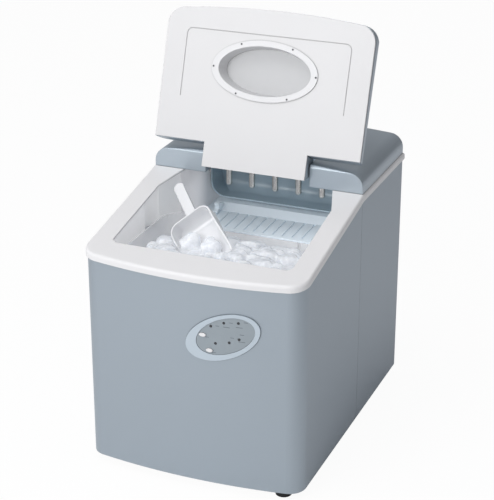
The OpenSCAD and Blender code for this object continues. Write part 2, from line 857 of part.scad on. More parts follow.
module control_board() {
    color([0.1, 0.35, 0.2]) {
        translate([panel_x - 36, board_y, panel_z - 28]) cube([72, 1.6, 52]);
        for (p = buttons) at_panel(p) translate([-3, 14, -3]) cube([6, 3, 6]);
        for (x = [panel_x - 20, panel_x + 34]) {
            y = front_y + 4 + fit + bow_r - sqrt(bow_r*bow_r - (x + 3)*(x + 3));
            translate([x, y, panel_z]) rotate([-90, 0, 0]) cylinder(r = 3, h = board_y - y);
        }
        translate([panel_x - 10, board_y - 6, panel_z - 22]) cube([18, 6, 6]);
    }
}

// ---------------------------------------------------------------- ice works

module evaporator() {
    color([0.72, 0.7, 0.66]) {
        pipe([[leg_left, leg_y, valve_z + valve_h], [leg_left, leg_y, header_z],
            [leg_left, finger_y, header_z], [leg_right, finger_y, header_z],
            [leg_right, leg_y, header_z], [leg_right, leg_y, header_z - 60]], header_r);
        for (i = [0 : finger_n - 1]) translate([finger_x0 + i*finger_pitch, finger_y, header_z]) {
            translate([0, 0, finger_r - finger_l]) sphere(r = finger_r);
            translate([0, 0, finger_r - finger_l]) cylinder(r = finger_r, h = finger_l - finger_r);
        }
    }
}

module evaporator_bracket() {
    foot_y = mouth_back + 1;
    top_z = header_z + header_r + 1;
    y0 = finger_y - 8;
    color([0.8, 0.82, 0.84]) {
        for (x = [finger_x0 + finger_pitch/2, finger_x0 + finger_pitch*(finger_n - 1.5)]) {
            difference() {
                translate([x - 5, y0, header_z]) cube([10, 16, top_z - header_z]);
                translate([x, finger_y, header_z]) rotate([0, 90, 0]) {
                    cylinder(r = header_r + run, h = 20, center = true);
                }
            }
            translate([x - 5, y0, top_z]) cube([10, foot_y + 7.5 - y0, 1.5]);
            translate([x - 5, foot_y + 6, strip_z]) cube([10, 1.5, top_z - strip_z + 0.1]);
            translate([x - 5, foot_y, strip_z]) cube([10, 7, 1.5]);
        }
    }
}

// The tray's section in its tipped pose, open towards -Y, drawn in by inset.
module tray_section(inset = 0) {
    y0 = pivot_y - tray_over;
    z1 = pivot_z + tray_over;
    y1 = y0 + tray_d;
    z0 = z1 - tray_w;
    r = tray_r - inset;
    a = inset == 0 ? y0 : y0 - cut;
    difference() {
        translate([a, z0 + inset]) square([y1 - inset - a, z1 - z0 - 2*inset]);
        for (c = [[y1 - tray_r, z0 + tray_r, 0, -1], [y1 - tray_r, z1 - tray_r, 0, 1]]) {
            difference() {
                translate([c[0], c[3] < 0 ? c[1] - tray_r - cut : c[1]]) square(tray_r + cut);
                translate([c[0], c[1]]) circle(r = r);
            }
        }
    }
}

// The tray's outline seen from the front, with rounded lower corners, drawn in by inset.
module tray_face(inset = 0) {
    r = 22 - inset;
    z1 = pivot_z + tray_over;
    hw = tray_l/2 - inset;
    z0 = z1 - tray_w + inset;
    translate([tray_l/2 - tray_left, 0]) {
        for (s = [-1, 1]) translate([s*(hw - r), z0 + r]) circle(r = r);
        translate([-hw, z0 + r]) square([2*hw, z1 + cut - z0 - r]);
        translate([r - hw, z0]) square([2*(hw - r), r + 1]);
    }
}

module tray_form(inset = 0) {
    intersection() {
        translate([-tray_left, 0, 0]) rotate([90, 0, 90]) linear_extrude(tray_l) tray_section(inset);
        translate([0, pivot_y + 100, 0]) rotate([90, 0, 0]) linear_extrude(200) tray_face(inset);
    }
}

module water_tray() {
    color([0.43, 0.5, 0.54]) {
        difference() {
            tray_form();
            tray_form(tray_t);
        }
        bar([-tray_left - 11.7, pivot_y, pivot_z], [-tray_left, pivot_y, pivot_z], shaft_r);
        bar([tray_right, pivot_y, pivot_z], [tray_right + 14, pivot_y, pivot_z], shaft_r);
    }
}

coupling_l = 10;
motor_x = -tray_left - 17;
motor_pin = 2.5;

module tray_coupling() {
    color([0.85, 0.85, 0.86]) difference() {
        bar([motor_x + 1, pivot_y, pivot_z], [motor_x + 1 + coupling_l, pivot_y, pivot_z], 8);
        bar([motor_x + 1 + 4, pivot_y, pivot_z], [0, pivot_y, pivot_z], shaft_r);
        bar([motor_x - 5, pivot_y, pivot_z], [motor_x + 1 + 4.5, pivot_y, pivot_z], motor_pin + run);
    }
}

module tray_motor() {
    r = 22;
    z = under_bezel - r - 2.5;
    color([0.75, 0.76, 0.78]) {
        bar([0.5 - tub_hw, pivot_y, z], [motor_x, pivot_y, z], r);
        bar([motor_x - 1, pivot_y, pivot_z], [motor_x + 3.5, pivot_y, pivot_z], motor_pin);
        translate([0.5 - tub_hw, pivot_y - 31, z - 4]) cube([2, 62, 8]);
    }
}

// White housing over the motor, rounded where it turns towards the tray.
module motor_cover() {
    wall = 2;
    x1 = -tray_left - 2.5;
    y0 = 60;
    color([0.9, 0.9, 0.91]) {
        difference() {
            translate([0, 0, tub_floor]) linear_extrude(under_bezel - tub_floor) {
                motor_column(x1, y0, 0, 0);
            }
            translate([0, 0, tub_floor - cut]) {
                linear_extrude(under_bezel - tub_floor + cut - 1.5) motor_column(x1, y0, wall, cut);
            }
            bar([x1 - 10, pivot_y, pivot_z], [x1 + 10, pivot_y, pivot_z], 9);
        }
        translate([x1 + 2, 0, 0]) under_slide(2.1, y0 + 22, tub_back - 8);
    }
}

// Plan of the housing between its rounded front corner and the tub's walls, drawn in by inset.
module motor_column(x1, y0, inset, open) {
    x0 = fit - tub_hw - open;
    y1 = tub_back - fit - inset;
    r = 20;
    difference() {
        translate([x0, y0 + inset]) square([x1 - inset - x0, y1 - y0 - inset]);
        difference() {
            translate([x1 - r, y0 - cut]) square([r + cut, r + cut]);
            translate([x1 - r, y0 + r]) circle(r = r - inset);
        }
    }
}

// Ledge that carries the slide, from y0 to y1.
module under_slide(half, y0, y1) {
    drop = slide_t + fit/3;
    along_x(half, [[y0, slide_top(y0) - drop - 4], [y1, slide_top(y1) - drop - 4],
        [y1, slide_top(y1) - drop], [y0, slide_top(y0) - drop]]);
}

module tray_bearing() {
    x0 = tray_right + 4;
    x1 = tub_hw - fit;
    color([0.9, 0.9, 0.91]) difference() {
        union() {
            bar([x0, pivot_y, pivot_z], [x1, pivot_y, pivot_z], 9);
            translate([x0, pivot_y - 9, pivot_z]) cube([x1 - x0, 18, under_bezel - pivot_z]);
        }
        bar([x0 - 1, pivot_y, pivot_z], [x1 - 4, pivot_y, pivot_z], shaft_r + run);
    }
}

shovel_left = -84;
shovel_right = tray_right + 1;
slot_n = floor((shovel_right - shovel_left - 14)/slot_pitch) + 1;
slot_x0 = (shovel_right + shovel_left)/2 - slot_pitch*(slot_n - 1)/2;
groove_d = 1.8;
hose_x = 121;
hose_y = 76;
hose_r = 5.5;

// Groove in the slide's top from y0 to y1.
module groove(half, y0, y1) {
    along_x(half, [[y0, slide_top(y0) - groove_d], [y1, slide_top(y1) - groove_d],
        [y1, slide_z + 40], [y0, slide_z + 40]]);
}

module ice_slide() {
    y1 = tub_back - fit;
    right = tub_hw - fit;
    color([0.69, 0.76, 0.81]) difference() {
        translate([slide_left, 0, 0]) rotate([90, 0, 90]) linear_extrude(right - slide_left) {
            polygon([[slide_y, slide_z - slide_t], [slide_y + 5, slide_top(slide_y + 5) - slide_t],
                [y1, slide_top(y1) - slide_t], [y1, slide_top(y1) + 6], [y1 - 2, slide_top(y1) + 6],
                [y1 - 2, slide_top(y1)], [slide_y, slide_z]]);
        }
        for (i = [0 : slot_n - 1]) translate([slot_x0 + i*slot_pitch, 0, 0]) {
            groove(slot_w/2, slide_y + 7, tub_back - 16);
        }
        translate([hose_x, hose_y, slide_z - 12]) cylinder(r = hose_r + 1, h = 40);
    }
}

// Comb that pushes the ice off the slide. Its teeth run in the slide's grooves.
module ice_shovel() {
    foot_z = slide_top(crease_y) + fit + 0.1;
    tooth_w = slot_w - 2*fit - 0.2;
    rise = 8.4;
    y = crease_y;
    color([0.7, 0.78, 0.83]) {
        translate([shovel_left, 0, 0]) rotate([90, 0, 90]) linear_extrude(shovel_right - shovel_left) {
            polygon([[y, foot_z], [y + 3, foot_z], [y + 14, foot_z + rise - 0.6],
                [y + 24, foot_z + rise - 0.6], [y + 24, foot_z + rise + 0.8],
                [y + 12, foot_z + rise + 0.8]]);
        }
        for (i = [0 : slot_n - 1]) {
            translate([slot_x0 + i*slot_pitch - tooth_w/2, 0, 0]) rotate([90, 0, 90]) {
                linear_extrude(tooth_w) polygon([[y + 0.5, foot_z + 0.3], [y + 3, foot_z + 0.5],
                    [y + 12, foot_z + 7], [y + 12, slide_top(y + 12) - groove_d + fit + 0.2],
                    [y + 0.5, slide_top(y + 0.5) - groove_d + fit + 0.2]]);
            }
        }
        // Hook that the tray's lever pulls
        translate([shovel_left + 4, 0, 0]) rotate([90, 0, 90]) linear_extrude(7) {
            polygon([[y + 13, foot_z + 8.6], [y - 2, foot_z + 12], [y - 4, foot_z + 14.5],
                [y - 8, foot_z + 13], [y - 6, foot_z + 5], [y - 13, foot_z + 3],
                [y - 13, foot_z + 0.8], [y - 2, foot_z + 2.5], [y + 8, foot_z + 5]]);
        }
    }
}

module ice_sensor() {
    color([0.2, 0.21, 0.23]) translate([tub_hw - fit - 5, 34, 296]) cube([5, 14, 12]);
}

// Small strainer on the floor of the pocket in the tub's wall.
module pocket_strainer() {
    z0 = pocket_z + fit;
    color([0.72, 0.74, 0.76]) difference() {
        intersection() {
            translate([pocket_x, pocket_y, z0]) cylinder(r = pocket_r - fit, h = 3);
            translate([-body_w/2, pocket_y - 60, 0]) cube([body_w/2 - tub_hw, 120, 500]);
        }
        for (i = [-2 : 2]) translate([-tub_hw - 5, pocket_y + i*6, z0 - 1]) cylinder(r = 1.4, h = 8);
    }
}

pump_x = 109;
pump_y = 80;

module water_pump() {
    color([0.16, 0.17, 0.19]) {
        translate([pump_x, pump_y, tub_floor]) cylinder(r = 20, h = 30);
        translate([pump_x - 15, pump_y - 15, tub_floor + 30]) cube([30, 30, 12]);
        translate([hose_x, hose_y, tub_floor + 41]) cylinder(r = 4, h = 11);
    }
}

module pump_hose() {
    spout_z = under_bezel - 3.2;
    z0 = tub_floor + 52;
    color([0.86, 0.88, 0.88]) {
        translate([hose_x, hose_y, z0]) cylinder(r = hose_r, h = under_bezel - 0.4 - z0);
        translate([hose_x - hose_r + 1, hose_y, spout_z]) rotate([0, -90, 0]) {
            cylinder(r = 2.4, h = hose_x - hose_r + 1 - tray_right + 8);
        }
    }
}

// ---------------------------------------------------------------- basket, ice and scoop

// The basket's outline at height z, drawn in by inset. It narrows downwards.
function basket_ring(inset, z) = let(drop = basket_z + basket_h - z)
    raised(corner_points(basket_hw - inset - drop*0.03, basket_front + inset + drop*basket_draft,
        basket_back - inset, 25 - inset, 40 - inset), z);

module basket_form(inset, z0, z1) {
    skinned([basket_ring(inset, z0), basket_ring(inset, z1)]);
}

module ice_basket() {
    top = basket_z + basket_h;
    color([0.93, 0.93, 0.94]) difference() {
        basket_form(0, basket_z, top);
        basket_form(basket_t, basket_z + basket_t, top + 0.5);
        // The back wall is low, so that the shovel can push ice over it
        translate([-low_hw, -12, low_z]) cube([low_hw + basket_hw + 5, 60, 100]);
        along_x(body_w, [[-30, top + 5], [-22, top], [30, top - 4], [30, top + 5]]);
        translate([slit_x, basket_back - 6, low_z - 9]) cube([3, 20, 20]);
        for (x = [-75 : 25 : 75], y = [-110 : 30 : -20]) {
            translate([x, y, basket_z - cut]) cylinder(r = 3, h = basket_t + 2*cut);
        }
    }
}

// Turns of whole numbers into scattered values between 0 and 1.
function scatter(i, k) = let(v = sin(i*k*37.7 + k*11)*437.5) v - floor(v);

// One thimble of ice, rounded at one end, as the fingers make them.
module thimble(i) {
    r = 11.5;
    rotate([360*scatter(i, 3), 70 + 40*scatter(i, 5), 360*scatter(i, 7)]) {
        translate([0, 0, -11]) cylinder(r = r, h = 16, $fn = 24);
        translate([0, 0, 5]) intersection() {
            sphere(r = r, $fn = 24);
            translate([-r, -r, -0.5]) cube([2*r, 2*r, r + 1]);
        }
    }
}

function heap_z(x, y) = 297 - 0.06*y - 0.0006*(x*x) - (y > -45 ? 0.2*(y + 45) : 0);

module heap() {
    z0 = basket_z + basket_t + fit;
    hull() {
        basket_form(basket_t + 0.6, z0, 270);
        for (p = [[-96, -140], [96, -140], [-100, -95], [100, -95], [-90, -40], [95, -40], [-60, -22],
                [70, -22]]) {
            translate([p.x, p.y, heap_z(p.x, p.y) - 9]) cube(2);
        }
    }
}

module thimbles() {
    for (i = [0 : 5], j = [0 : 3]) {
        x = -91 + 36*i + 10*(j % 2) + 8*(scatter(6*i + j, 2) - 0.5);
        y = -136 + 33*j + 8*(scatter(6*i + j, 4) - 0.5);
        if (x < 98) translate([x, y, heap_z(x, y) - 8 + 5*scatter(i + 7*j, 6)]) thimble(6*j + i);
    }
}

// The scoop stands in the ice with its handle up against the left wall.
module at_scoop() {
    translate([-60, -38, 306]) rotate([0, 0, 45]) rotate([-65, 0, 0]) rotate([0, 0, -42]) children();
}

bowl_h = 30;

// Room that the scoop and the ice on it need as they are lifted straight up.
module scoop_room(grow) {
    hull() for (z = [0, 200]) translate([0, 0, z]) at_scoop() {
        translate([-bowl_w/2 - grow, -bowl_h - grow, -bowl_l - grow]) {
            cube([bowl_w + 2*grow, bowl_h + 2*grow, bowl_l + 2*grow]);
        }
    }
}

// The ice lies in the basket as one frozen heap, with room for the scoop.
module ice_pile() {
    color([0.9, 0.94, 0.97, 0.7]) difference() {
        union() {
            heap();
            thimbles();
        }
        scoop_room(1.2);
    }
}

// The ice that the scoop lifts.
module scoop_ice() {
    color([0.9, 0.94, 0.97, 0.7]) intersection() {
        union() {
            heap();
            for (p = [[-17, -15, -30], [5, -15, -60], [-19, -16, -58]]) {
                at_scoop() translate(p) thimble(p.x + 30);
            }
        }
        scoop_room(-1);
        at_scoop() bowl_form(3, 60);
    }
}

// The bowl's outside drawn in by inset. Its mouth faces -Y, its tip is down and its back is z = 0.
module bowl_form(inset = 0, over = 0) {
    hw = bowl_w/2 - inset;
    r = 15 - inset;
    intersection() {
        translate([0, 0, -bowl_l]) linear_extrude(bowl_l) {
            for (s = [-1, 1]) translate([s*(hw - r), -inset - r]) circle(r = r);
            translate([r - hw, -inset - r]) square([2*(hw - r), r]);
            translate([-hw, -inset - bowl_h - over]) square([2*hw, bowl_h + over - r]);
        }
        rotate([90, 0, 0]) translate([0, 0, -1]) linear_extrude(bowl_h + over + 2) {
            for (s = [-1, 1]) translate([s*(hw - r), -inset - r]) circle(r = r);
            translate([-hw, -bowl_l]) square([2*hw, bowl_l - inset - r]);
            translate([r - hw, -bowl_l]) square([2*(hw - r), bowl_l - inset]);
        }
        rotate([90, 0, 90]) translate([0, 0, -bowl_w]) linear_extrude(2*bowl_w) {
            translate([-inset - r, -inset - r]) circle(r = r);
            polygon([[-inset, -bowl_l - cut], [-inset, -inset - r], [-inset - r, -inset],
                [-bowl_h - over, -inset], [-bowl_h - over, -26], [-9 - over, -bowl_l - cut]]);
        }
    }
}

module scoop() {
    wall = 2;
    handle_w = 15;
    handle_t = 4;
    color([0.92, 0.93, 0.94, 0.8]) at_scoop() {
        difference() {
            bowl_form();
            bowl_form(wall, 4);
        }
        translate([-handle_w/2, -10, -3]) cube([handle_w, handle_t, handle_l - handle_w/2 - 15]);
        translate([0, -10 + handle_t, handle_l - 18 - handle_w/2]) rotate([90, 0, 0]) {
            cylinder(r = handle_w/2 + 0.5, h = handle_t);
        }
    }
}

// ---------------------------------------------------------------- cooling

module compressor() {
    r = 20;
    color([0.1, 0.1, 0.11]) {
        translate([comp_x, comp_y, comp_z]) rotate_extrude($fn = 96) {
            square([comp_r, comp_h - r]);
            translate([0, comp_h - r - 1]) square([comp_r - r, r + 1]);
            translate([comp_r - r, comp_h - r]) circle(r = r);
            translate([0, 0]) square([comp_r - r, comp_h - r]);
        }
        translate([comp_x - 52, comp_y - 40, comp_z - 2]) cube([104, 80, 2]);
        translate([comp_x + 16, comp_y - comp_r - 8, comp_z + 30]) cube([30, 14, 30]);
    }
}

module compressor_grommets() {
    color([0.15, 0.15, 0.15]) for (x = [-40, 40], y = [-34, 34]) {
        translate([comp_x + x, comp_y + y, pan_z]) cylinder(r = 6, h = comp_z - 2 - pan_z);
    }
}

// Block of fins on a serpentine pipe whose bends stand out at both ends.
module condenser() {
    fins = 22;
    pitch = (cond_w - 14)/(fins - 1);
    fin_d = cond_t/2 - 3;
    row = 22;
    end_x = cond_w/2 + 4;
    color([0.75, 0.76, 0.77]) translate([cond_x, cond_y, 0]) {
        difference() {
            translate([-cond_w/2, 0, cond_z]) cube([cond_w, cond_t, cond_h]);
            for (i = [0 : fins - 1], y = [-cut, cond_t - fin_d]) {
                translate([-cond_w/2 + 7 - pitch/2 + i*pitch, y, cond_z + 3]) {
                    cube([pitch - 1.4, fin_d + cut, cond_h - 6]);
                }
            }
        }
        for (x = [-cond_w/2, cond_w/2 - 1]) translate([x, 2, pan_z]) {
            cube([1, cond_t - 4, cond_z - pan_z + 1]);
        }
        for (i = [0 : 5]) translate([0, cond_t/2, cond_z + 11 + row*i]) {
            for (s = [-1, 1]) bar([s*(end_x + (i % 5 == 0 && s < 0 ? 6 : 0)), 0, 0],
                [s*(cond_w/2 - 3), 0, 0], pipe_r);
        }
        for (i = [0 : 4]) translate([(i % 2 == 0 ? 1 : -1)*end_x, cond_t/2, cond_z + 11 + row*i]) {
            bar([0, 0, -pipe_r - 1], [0, 0, row + pipe_r + 1], pipe_r + 0.6);
        }
    }
}

module fan_shroud() {
    plate = 2;
    y0 = cond_y - fit - plate;
    color([0.2, 0.21, 0.22]) difference() {
        union() {
            translate([cond_x - cond_w/2, y0, cond_z]) cube([cond_w, plate, cond_h]);
            translate([cond_x, y0 - 14, fan_z]) rotate([-90, 0, 0]) cylinder(r = fan_r + 4, h = 14);
        }
        translate([cond_x, y0 - 20, fan_z]) rotate([-90, 0, 0]) cylinder(r = fan_r + 2, h = 40);
    }
    color([0.2, 0.21, 0.22]) {
        for (a = [45 : 90 : 315]) translate([cond_x, y0 - 14, fan_z]) rotate([0, a, 0]) {
            translate([12, -2.5, -3]) cube([fan_r - 9, 3, 6]);
        }
        translate([cond_x, y0 - 17, fan_z]) rotate([-90, 0, 0]) difference() {
            cylinder(r = 20, h = 3);
            translate([0, 0, -cut]) cylinder(r = 5, h = 5);
        }
    }
}

module fan_motor() {
    y0 = cond_y - fit - 2 - 17;
    color([0.3, 0.3, 0.32]) {
        translate([cond_x, y0 - 26, fan_z]) rotate([-90, 0, 0]) cylinder(r = 18, h = 26);
        translate([cond_x, y0 - 1, fan_z]) rotate([-90, 0, 0]) cylinder(r = 2, h = 14);
    }
}

module fan_blade() {
    y0 = cond_y - fit - 2 - 13;
    blades = 5;
    color([0.85, 0.86, 0.86]) translate([cond_x, y0, fan_z]) difference() {
        union() {
            rotate([-90, 0, 0]) cylinder(r = 12, h = 11);
            for (i = [0 : blades - 1]) rotate([0, 360/blades*i, 0]) {
                translate([10, 5.5, 0]) rotate([24, 0, 0]) {
                    translate([0, -0.9, -13]) cube([fan_r - 12, 1.8, 22]);
                }
            }
        }
        rotate([-90, 0, 0]) translate([0, 0, -cut]) cylinder(r = 2 + run, h = 9.5 + cut);
    }
}

drier_x = 12;
drier_y = back_y - 73.35;

module filter_drier() {
    y = drier_y + 6;
    stub = cond_x - cond_w/2 - 10;
    color([0.72, 0.45, 0.3]) {
        translate([drier_x, y, 44]) cylinder(r = 8, h = 48);
        pipe([[stub, cond_y + cond_t/2, cond_z + 11], [stub - 10, cond_y + cond_t/2, cond_z + 11],
            [drier_x, y + 10, 28], [drier_x, y, 34], [drier_x, y, 50]], pipe_r);
        pipe([[drier_x, y, 90], [drier_x, y, 230], [leg_left + 9, y, 262]], 1.2);
        translate([leg_left + 8, y - 3, 258]) cube([3, 10, 8]);
        translate([drier_x - 3, y - 3, pan_z]) cube([6, 6, 36]);
    }
}

valve_z = 215;
valve_h = 34;

module hot_gas_valve() {
    color([0.75, 0.6, 0.35]) {
        translate([leg_left, leg_y, valve_z]) cylinder(r = 7, h = valve_h);
        translate([leg_left - 14, leg_y - 10, valve_z + 6]) cube([28, 20, 22]);
        translate([leg_left - 3, tub_back + tub_t + fit, valve_z + 12]) cube([6, 4, 8]);
    }
}

module discharge_pipe() {
    x = comp_x + 24;
    z = cond_z + 11 + 110;
    stub = cond_x - cond_w/2 - 10;
    color([0.75, 0.45, 0.3]) {
        pipe([[x, comp_y, comp_z + comp_h], [x, comp_y, z], [stub - 12, cond_y + cond_t/2, z],
            [stub, cond_y + cond_t/2, z]], pipe_r);
        pipe([[x, comp_y, z - 2], [x, comp_y, z + 24], [leg_left, leg_y, z + 44],
            [leg_left, leg_y, valve_z]], pipe_r);
    }
}

module suction_pipe() {
    y = leg_y + 18;
    x = comp_x - 20;
    color([0.75, 0.45, 0.3]) {
        pipe([[leg_right, leg_y, header_z - 60], [leg_right, leg_y, 222], [leg_right - 10, y, 200],
            [x, y, 200], [x, comp_y, 172], [x, comp_y, comp_z + comp_h]], pipe_r);
    }
}

module power_board() {
    x = body_w/2 - sheet_t - 4;
    color([0.12, 0.4, 0.22]) {
        translate([x - 1.6, 50, 40]) cube([1.6, 70, 80]);
        translate([x - 24, 60, 60]) cube([22.5, 28, 24]);
        translate([x - 14, 96, 50]) cube([12.5, 16, 40]);
        for (z = [46, 114]) translate([x, 54, z]) rotate([0, 90, 0]) cylinder(r = 3, h = 4 - fit);
    }
}

module power_inlet() {
    color([0.1, 0.1, 0.1]) difference() {
        union() {
            translate([inlet_x - 13.5, panel_y - 20, inlet_z - 10]) cube([27, 20 + fit, 20]);
            translate([inlet_x - 17, panel_y + 0.05, inlet_z - 14]) cube([34, head_h, 28]);
        }
        translate([inlet_x - 11, panel_y - 14, inlet_z - 7.5]) cube([22, 40, 15]);
    }
    color([0.7, 0.7, 0.7]) for (x = [-7, 0, 7]) {
        translate([inlet_x + x - 1, panel_y - 15, inlet_z - 2]) cube([2, 12, 4]);
    }
}

drain_y = 66;
drain_z = 48;
drain_r = 9;

module drain_spout() {
    x0 = -body_w/2 + sheet_t + fit;
    x1 = -body_w/2 + fit;
    color([0.85, 0.85, 0.86]) difference() {
        union() {
            pipe([[-110, 40, tub_floor - tub_t - fit], [-110, 40, drain_z + 30],
                [-120, drain_y, drain_z], [x0, drain_y, drain_z]], 6);
            bar([x1, drain_y, drain_z], [x0 + 1, drain_y, drain_z], 8);
            bar([x0, drain_y, drain_z], [x0 + 3, drain_y, drain_z], drain_r + 4);
        }
        bar([x0 - 8, drain_y, drain_z], [x0 + 14, drain_y, drain_z], 4);
    }
}

module drain_cap() {
    x1 = -body_w/2;
    color([0.1, 0.1, 0.1]) {
        bar([x1 - 1.8, drain_y, drain_z], [x1, drain_y, drain_z], drain_r + 0.5);
        bar([x1 - 1, drain_y, drain_z], [x1 + 9, drain_y, drain_z], 4 - run);
    }
}

base_pan();
feet();
foot_screws();
front_wrap();
side_panel_left();
side_panel_right();
rear_panel();
panel_screws();
bezel();
top_cover();
hinge_pins();
tub();
insulation();
lid_shell();
lid_liner();
window_ring();
window_pane();
window_screws();
window_trim();
control_ring();
control_overlay();
led_lenses();
power_button();
select_button();
control_board();
evaporator();
evaporator_bracket();
water_tray();
tray_coupling();
tray_motor();
motor_cover();
tray_bearing();
ice_slide();
ice_shovel();
ice_sensor();
pocket_strainer();
water_pump();
pump_hose();
ice_basket();
ice_pile();
scoop();
scoop_ice();
compressor();
compressor_grommets();
condenser();
fan_shroud();
fan_motor();
fan_blade();
filter_drier();
hot_gas_valve();
discharge_pipe();
suction_pipe();
power_board();
power_inlet();
drain_spout();
drain_cap();
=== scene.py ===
# %% [markdown]
# # A countertop ice maker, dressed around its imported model
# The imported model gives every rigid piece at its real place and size. This lesson adds the finishes,
# the ice, the soft-edged mouldings, the light and the camera. All lengths are in metres, +Z is up and
# the front of the machine faces -Y.

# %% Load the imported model
import json
import math
import random

import bmesh
import bpy
from mathutils import Euler, Matrix, Vector


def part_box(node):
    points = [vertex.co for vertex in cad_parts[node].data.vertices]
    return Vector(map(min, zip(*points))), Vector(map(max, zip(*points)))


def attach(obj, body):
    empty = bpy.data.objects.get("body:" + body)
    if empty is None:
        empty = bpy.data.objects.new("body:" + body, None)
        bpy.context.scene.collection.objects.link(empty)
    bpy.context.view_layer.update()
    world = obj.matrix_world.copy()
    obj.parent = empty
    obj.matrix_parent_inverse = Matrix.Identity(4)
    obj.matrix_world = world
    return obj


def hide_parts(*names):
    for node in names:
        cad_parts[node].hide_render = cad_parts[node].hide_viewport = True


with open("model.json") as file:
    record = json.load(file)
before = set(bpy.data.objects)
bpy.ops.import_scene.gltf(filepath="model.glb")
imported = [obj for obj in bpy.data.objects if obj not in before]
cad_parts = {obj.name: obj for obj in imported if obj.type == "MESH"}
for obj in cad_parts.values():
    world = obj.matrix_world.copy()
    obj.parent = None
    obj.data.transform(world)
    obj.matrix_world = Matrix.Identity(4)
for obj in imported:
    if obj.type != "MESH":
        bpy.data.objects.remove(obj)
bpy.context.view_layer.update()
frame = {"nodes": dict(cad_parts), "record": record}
nodes = frame["nodes"]
print("loaded", len(nodes), "nodes")


def spot(node):
    """The lowest corner, highest corner and middle of a node."""
    low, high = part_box(node)
    return low, high, (low + high) / 2


# %% [markdown]
# ## Shader maths as plain Python
# A finish on a real moulding is never one flat colour: paint has flakes, plastic has flow marks, ice
# has a cloudy heart. In Blender each of those is a web of nodes. Wiring them by hand hides the idea,
# so `Wire` wraps a socket and lets ordinary arithmetic add the Math nodes, and `Finish` has one method
# that makes any other node.

# %% Wires
class Wire:
    """A socket that can be added and multiplied, from either side."""

    def __init__(self, finish, socket):
        self.finish = finish
        self.socket = socket

    def maths(self, operation, first, second):
        return self.finish.node("Math", {"operation": operation}, {0: first, 1: second})

    def __add__(self, other):
        return self.maths("ADD", self, other)

    def __radd__(self, other):
        return self.maths("ADD", other, self)

    def __mul__(self, other):
        return self.maths("MULTIPLY", self, other)

    def __rmul__(self, other):
        return self.maths("MULTIPLY", other, self)


print("wires add and multiply")

# %% [markdown]
# ## A web of nodes
# The finishes here are built from a few simple things: a place on the object, soft noise, a mix of two
# colours, rounded edges, painted shade in narrow seams and a slight relief. Each is a method, so a
# finish reads as a short recipe. The studio's light is a web of nodes too, and the same class makes it.

# %% Finishes
NODE_SAMPLES = 6
AIR_SHUT = 0.45          # share of open air at which the painted shade in a seam is darkest
AIR_OPEN = 0.95          # share of open air at which it is gone


class Finish:
    """The nodes of one material, or of the world, added one by one."""

    def __init__(self, name, store=bpy.data.materials):
        self.home = store.new(name)
        self.home.use_nodes = True
        self.tree = self.home.node_tree
        self.tree.nodes.clear()

    def node(self, kind, settings=None, inputs=None, out=0):
        made = self.tree.nodes.new("ShaderNode" + kind)
        settings = dict(settings or {})
        stops = settings.pop("stops", None)
        for key, value in settings.items():
            setattr(made, key, value)
        if stops:
            ramp = made.color_ramp.elements
            while len(ramp) < len(stops):
                ramp.new(1)
            for element, (place, colour) in zip(ramp, stops):
                element.position = place
                element.color = colour
        for key, value in (inputs or {}).items():
            if isinstance(value, Wire):
                self.tree.links.new(value.socket, made.inputs[key])
            else:
                made.inputs[key].default_value = value
        return Wire(self, made.outputs[out]) if made.outputs else None

    def place(self):
        """Where a point is on the resting object, in metres."""
        return self.node("TexCoord", out="Object")

    def noise(self, size, detail=2.0, rough=0.5):
        """Soft noise from 0 to 1 whose lumps are about size metres across."""
        return self.node("TexNoise", {}, {"Vector": self.place(), "Scale": 1 / size, "Detail": detail,
                                          "Roughness": rough})

    def mix(self, share, first, second):
        """A colour between first and second."""
        return self.node("Mix", {"data_type": "RGBA"}, {0: share, 6: first, 7: second}, out=2)

    def edge(self, radius):
        """A normal that rounds sharp edges over radius metres."""
        return self.node("Bevel", {"samples": NODE_SAMPLES}, {"Radius": radius})

    def seam(self, tone, reach, dark):
        """The tone, with shade painted in where surfaces within reach metres close the air in."""
        open_air = self.node("AmbientOcclusion", {"samples": NODE_SAMPLES}, {"Distance": reach}, out="AO")
        clear = self.node("MapRange", {}, {"Value": open_air, "From Min": AIR_SHUT, "From Max": AIR_OPEN})
        return self.mix(clear, dark, tone)

    def bump(self, height, depth, under=None):
        """A normal with a relief of depth metres, laid over another normal if one is given."""
        inputs = {"Height": height, "Distance": depth, "Strength": 1.0}
        if under:
            inputs["Normal"] = under
        return self.node("Bump", {}, inputs)

    def done(self, shader, end="OutputMaterial"):
        """Join the shader to the end of the web, and give back the material or world."""
        self.node(end, {}, {"Surface": shader})
        return self.home


print("finishes take any node")

# %% [markdown]
# ## An ordinary opaque finish
# Most pieces are plain mouldings or sheet. One helper gives them all a broad drift of tone, a fine
# grain, a slight texture and softly rounded edges. Where two pieces nearly touch, the shade in the
# narrow gap is painted into the colour as a thin dark line: the ambient occlusion node finds those
# places by itself, so no line has to be drawn.

# %% Opaque finish
BROAD_DRIFT = 0.06       # metres across a broad patch
ROUGH_DRIFT = 0.08       # how much the roughness changes from patch to patch
SOFT_EDGE = 0.0006       # metres


def shade(colour, gain):
    """colour made lighter or darker, as a four-value colour."""
    return tuple(min(1, c * gain) for c in colour[:3]) + (1,)


